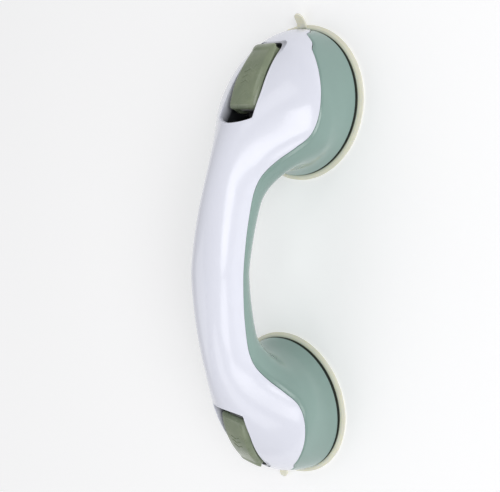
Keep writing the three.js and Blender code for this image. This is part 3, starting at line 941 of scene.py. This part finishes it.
def well_finish_painted_shade():
    """The upper shell's plastic, with painted shade: it turns near black with depth under the slot's sloping lip.
    """
    f = finish_settings()
    h = handle_settings()
    n = Nodes("lever well plastic with painted shade")
    apart = n.add("ShaderNodeSeparateXYZ")
    n.link(n.place, apart.inputs["Vector"])
    out = n.add("ShaderNodeMath", operation="ABSOLUTE")
    n.link(apart.outputs["X"], out.inputs[0])
    level = n.add("ShaderNodeMath", operation="MULTIPLY_ADD")
    level.inputs[1].default_value = LIP_FALL
    n.link(out.outputs["Value"], level.inputs[0])
    n.link(apart.outputs["Z"], level.inputs[2])
    lip = LIP_FALL * h.cup_axis + PIVOT.z + LIP_ABOVE_PIVOT
    # Painted shade: below the sloping lip the white fades to near black between these depths, in place of the
    # well's shadow.
    dark, pale = lip - 0.0095, lip - 0.0015
    depth = n.remap(level.outputs["Value"], 1, 0, dark, pale)
    white = n.blend(n.remap(n.noise(14, 2.0), 0, 1), toned(f.white, 0.985), tuple(f.white))
    n.link(n.blend(depth, white, (0.02, 0.022, 0.024)), n.surface.inputs["Base Color"])
    n.link(n.remap(n.noise(60, 4.0), 0.22, 0.36), n.surface.inputs["Roughness"])
    n.bumps((n.noise(260, 1.0), 0.25, 0.00003))
    return n.material


def lever_finish():
    f = finish_settings()
    n = Nodes("lever satin plastic")
    base = tuple(f.lever)
    flow = n.noise(90, 3.0)
    warm = base[0] * 1.05, base[1], base[2]
    tone = n.blend(n.remap(flow, 0, 1), toned(base, 0.86), toned(warm, 1.12))
    n.link(tone, n.surface.inputs["Base Color"])
    grain = n.noise(2600, 3.0)
    n.link(n.remap(n.noise(220, 4.0), 0.24, 0.36), n.surface.inputs["Roughness"])
    n.bumps((n.noise(320, 2.0), 0.20, 0.00004), (grain, 0.25, 0.00002))
    n.set(Coat_Weight=0.3, Coat_Roughness=0.14)
    return n.material


def vinyl_finish(end):
    """Soft vinyl: cloudy, slightly see-through, greener beside the bell, with painted shade in near black just
    under the bell's rim.
    """
    f = finish_settings()
    h = handle_settings()
    n = Nodes(f"cup soft vinyl {end}")
    centred = n.add("ShaderNodeMapping")
    centred.inputs["Location"].default_value = (-ENDS[end] * h.cup_axis, 0, 0)
    n.link(n.place, centred.inputs["Vector"])
    flat = n.add("ShaderNodeVectorMath", operation="MULTIPLY")
    flat.inputs[1].default_value = (1, 1, 0)
    n.link(centred.outputs["Vector"], flat.inputs[0])
    radius = n.add("ShaderNodeVectorMath", operation="LENGTH")
    n.link(flat.outputs["Vector"], radius.inputs[0])
    away = radius.outputs["Value"]
    rim = h.bell_radius - 0.0002
    band = n.remap(away, 1, 0, rim, h.bell_radius + 0.0021)
    # Painted shade: a ring just under the bell's rim, painted near black in place of the shadow in the gap there.
    rim_shade = n.remap(away, 1, 0, rim, h.bell_radius + 0.0004)
    height = n.add("ShaderNodeSeparateXYZ")
    n.link(n.place, height.inputs["Vector"])
    upper = n.times(n.remap(height.outputs["Z"], 0, 1, 0.0016, 0.0021),
                    n.remap(away, 0, 1, h.bell_radius - 0.006, h.bell_radius - 0.004))
    cloud = n.blend(n.remap(n.noise(120, 3.0), 0, 1), toned(f.vinyl, 0.94), tuple(f.vinyl))
    tinted = n.blend(n.times(band, upper), cloud, tuple(f.vinyl_inner))
    # Painted shade: the ring under the rim takes the inner band colour at 8 percent.
    n.link(n.blend(n.times(rim_shade, upper), tinted, toned(f.vinyl_inner, 0.08)),
           n.surface.inputs["Base Color"])
    n.link(n.remap(n.noise(180, 3.0), 0.28, 0.42), n.surface.inputs["Roughness"])
    n.bumps((n.noise(500, 2.0), 0.2, 0.00003))
    n.set(Subsurface_Weight=0.35, Subsurface_Radius=(0.004, 0.0035, 0.002),
          Subsurface_Scale=1.0, IOR=1.5)
    return n.material


def stud_finish():
    f = finish_settings()
    n = Nodes("stud natural plastic")
    base = tuple(f.stud)
    n.link(n.blend(n.remap(n.noise(150, 3.0), 0, 1), toned(base, 0.92), base),
           n.surface.inputs["Base Color"])
    n.link(n.remap(n.noise(400, 3.0), 0.38, 0.52), n.surface.inputs["Roughness"])
    n.bumps((n.noise(900, 2.0), 0.2, 0.00003))
    n.set(Subsurface_Weight=0.1, Subsurface_Radius=(0.002, 0.002, 0.002))
    return n.material


def steel_finish():
    f = finish_settings()
    n = Nodes("zinc plated steel")
    base = tuple(f.steel)
    n.link(n.blend(n.remap(n.noise(500, 4.0), 0, 1), toned(base, 0.85), toned(base, 1.05)),
           n.surface.inputs["Base Color"])
    n.link(n.remap(n.noise(1500, 4.0, (1, 1, 0.1)), 0.24, 0.42), n.surface.inputs["Roughness"])
    n.bumps((n.noise(2500, 3.0, (1, 1, 0.1)), 0.25, 0.00002))
    n.set(Metallic=1.0)
    return n.material


def floor_finish():
    f = finish_settings()
    n = Nodes("pale floor")
    base = tuple(f.floor)
    n.link(n.blend(n.remap(n.noise(3, 3.0), 0, 1), toned(base, 0.995), base),
           n.surface.inputs["Base Color"])
    n.set(Roughness=0.9, Specular_IOR_Level=0.1)
    n.set(Emission_Color=(1, 1, 1, 1), Emission_Strength=0.2)
    return n.material


def finished(obj, material):
    obj.data.materials.clear()
    obj.data.materials.append(material)
    return obj


def material_named(name, maker, *args):
    return bpy.data.materials.get(name) or maker(*args)


# ---- operators ----
class GRABBAR_OT_shells(bpy.types.Operator):
    """Build the upper shell with its two slots and wells, and the lower shell"""
    bl_idname = "grab_bar.shells"
    bl_label = "Shells"

    def execute(self, context):
        f = finish_settings()
        upper = shell_wall("upper_shell_skin", True)
        wells = {}
        source = well_liner("lever_well", upper)
        cutter = slot_cutter()
        for end in ENDS:
            copied = copy_of(cutter, f"slot cutter {end}")
            cut(upper, placed(copied, end_matrix(end)))
            wells[end] = placed(copy_of(source, f"lever_well_{end}"), end_matrix(end))
        bpy.data.objects.remove(source)
        bpy.data.objects.remove(cutter)
        lower = shell_wall("lower_shell_skin", False)
        white = gloss_shell(
            "upper shell gloss plastic", toned(f.white, 0.985), tuple(f.white), 0.20)
        green = gloss_shell(
            "lower shell gloss plastic", toned(f.green, 0.93), toned(f.green, 1.05), 0.15)
        # The wells get the white plastic with painted shade in their depths.
        well_plastic_painted_shade = well_finish_painted_shade()
        for piece in (upper, *wells.values()):
            smooth(finished(piece, white if piece == upper else well_plastic_painted_shade), 32)
            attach(piece, "housing")
        smooth(finished(lower, green), 32)
        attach(lower, "housing")
        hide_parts("upper_shell")
        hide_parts("lower_shell")
        return {"FINISHED"}


class GRABBAR_OT_levers(bpy.types.Operator):
    """Build the two flip levers with their cam cheeks"""
    bl_idname = "grab_bar.levers"
    bl_label = "Levers"

    def execute(self, context):
        lever = lever_arm("lever")
        extras = [cam_cheek("cheek", side) for side in (-1, 1)]
        extras += [chevron("chevron", x) for x in (0.0120, 0.0152, 0.0184)]
        extras += [cross_rib("rib", x) for x in (0.0150, 0.0195)]
        joined(lever, extras)
        satin = lever_finish()
        for end in ENDS:
            piece = placed(copy_of(lever, f"flip_lever_{end}"), end_matrix(end))
            smooth(finished(piece, satin), 38)
            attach(piece, f"lever_{end}")
            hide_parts(f"lever_{end}")
        bpy.data.objects.remove(lever)
        return {"FINISHED"}


class GRABBAR_OT_cups(bpy.types.Operator):
    """Build the two suction cups with their release tabs"""
    bl_idname = "grab_bar.cups"
    bl_label = "Suction cups"

    def execute(self, context):
        c = cup_settings()
        for end in ENDS:
            cup = cup_body(f"vinyl_cup_{end}")
            joined(cup, [release_tab("tab", c.tab_lift if end == "a" else 0.0)])
            placed(cup, end_matrix(end))
            smooth(finished(cup, vinyl_finish(end)), 40)
            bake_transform(cup)
            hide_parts(f"suction_cup_{end}")
        return {"FINISHED"}


class GRABBAR_OT_studs(bpy.types.Operator):
    """Build the two studs and the pins that the levers turn on"""
    bl_idname = "grab_bar.studs"
    bl_label = "Studs and pins"

    def execute(self, context):
        c = cup_settings()
        natural = stud_finish()
        steel = material_named("zinc plated steel", steel_finish)
        for end in ENDS:
            stud = stud_shank(f"draw_stud_{end}")
            joined(stud, [across_y("head", c.head_radius, 0.0128, 0.0006)])
            smooth(finished(placed(stud, end_matrix(end)), natural), 35)
            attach(stud, f"stud_{end}")
            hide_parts(f"stud_{end}")
            pin = across_y(f"cross_pin_{end}", c.pin_radius, 0.0222, 0.0003, 32)
            smooth(finished(placed(pin, end_matrix(end)), steel), 35)
            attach(pin, f"lever_{end}")
            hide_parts(f"lever_pin_{end}")
        return {"FINISHED"}


class GRABBAR_OT_hardware(bpy.types.Operator):
    """Finish the plates, washers, springs and screws that stay as they are"""
    bl_idname = "grab_bar.hardware"
    bl_label = "Hardware"

    def execute(self, context):
        steel = material_named("zinc plated steel", steel_finish)
        for node, obj in frame["nodes"].items():
            if SLOTS[node] == "steel" and not obj.hide_render:
                finished(obj, steel)
        return {"FINISHED"}


class GRABBAR_OT_stage(bpy.types.Operator):
    """Set the pale floor, the soft lights and the camera"""
    bl_idname = "grab_bar.stage"
    bl_label = "Stage"

    def execute(self, context):
        scene = context.scene
        bpy.ops.object.select_all(action="DESELECT")
        bpy.ops.mesh.primitive_plane_add(size=8)
        floor = finished(named("pale_floor"), floor_finish())
        for place, size, power in (
                ((0.30, -1.10, 0.75), (0.9, 0.5), 5),
                ((-0.55, -0.95, 0.55), (0.5, 0.4), 1.5),
                ((0.95, -0.45, 0.85), (0.35, 0.6), 0.9),
                ((-0.95, -0.45, 0.85), (0.35, 0.6), 0.9),
                ((-0.50, 0.80, 1.10), (1.2, 1.0), 3)):
            self.soft_light(context, Vector(place), size, power)
        world = bpy.data.worlds.new("pale studio")
        world.use_nodes = True
        world.node_tree.nodes["Background"].inputs["Color"].default_value = (1, 1, 1, 1)
        world.node_tree.nodes["Background"].inputs["Strength"].default_value = 0.48
        scene.world = world
        scene.view_settings.view_transform = "Standard"
        self.aim_camera(context)
        return {"FINISHED"}

    def soft_light(self, context, place, size, power):
        turn = (Vector((0, 0, 0.03)) - place).to_track_quat("-Z", "Y").to_euler()
        bpy.ops.object.light_add(type="AREA", location=place, rotation=turn)
        light = context.object
        light.data.shape = "RECTANGLE"
        light.data.size, light.data.size_y = size
        light.data.energy = power

    def aim_camera(self, context):
        place = Vector((0.0793, -0.2718, 0.3274))
        right = Vector((0.03, -0.72, -0.693)).normalized()
        up = Vector((0.985, 0.138, -0.10)).normalized()
        back = right.cross(up).normalized()
        up = back.cross(right).normalized()
        bpy.ops.object.camera_add()
        camera = context.object
        camera.data.sensor_width = 36
        camera.data.lens = 48.13
        camera.data.clip_start = 0.01
        camera.matrix_world = Matrix((
            (right.x, up.x, back.x, place.x),
            (right.y, up.y, back.y, place.y),
            (right.z, up.z, back.z, place.z),
            (0, 0, 0, 1)))
        context.scene.camera = camera


class GRABBAR_PT_panel(bpy.types.Panel):
    """Lists the grab bar's pieces"""
    bl_label = "Suction Grab Bar"
    bl_idname = "GRABBAR_PT_panel"
    bl_space_type = "VIEW_3D"
    bl_region_type = "UI"
    bl_category = "Grab Bar"

    def draw(self, context):
        for operator in OPERATORS:
            self.layout.operator(operator.bl_idname)
        for group in SETTINGS:
            box = self.layout.box()
            settings = getattr(context.scene, group)
            for prop in settings.bl_rna.properties:
                if prop.identifier not in ("rna_type", "name"):
                    box.prop(settings, prop.identifier)


OPERATORS = (
    GRABBAR_OT_shells,
    GRABBAR_OT_levers,
    GRABBAR_OT_cups,
    GRABBAR_OT_studs,
    GRABBAR_OT_hardware,
    GRABBAR_OT_stage,
)
SETTINGS = {
    "grab_bar_handle": HandleSettings,
    "grab_bar_lever": LeverSettings,
    "grab_bar_cup": CupSettings,
    "grab_bar_finish": FinishSettings,
}


def register():
    for item in (*SETTINGS.values(), *OPERATORS, GRABBAR_PT_panel):
        bpy.utils.register_class(item)
    for name, group in SETTINGS.items():
        setattr(bpy.types.Scene, name, PointerProperty(type=group))


def unregister():
    for name in SETTINGS:
        delattr(bpy.types.Scene, name)
    for item in (GRABBAR_PT_panel, *reversed(OPERATORS), *SETTINGS.values()):
        bpy.utils.unregister_class(item)


def main():
    register()
    bpy.ops.grab_bar.shells()
    bpy.ops.grab_bar.levers()
    bpy.ops.grab_bar.cups()
    bpy.ops.grab_bar.studs()
    bpy.ops.grab_bar.hardware()
    bpy.ops.grab_bar.stage()


if __name__ == "__main__":
    main()
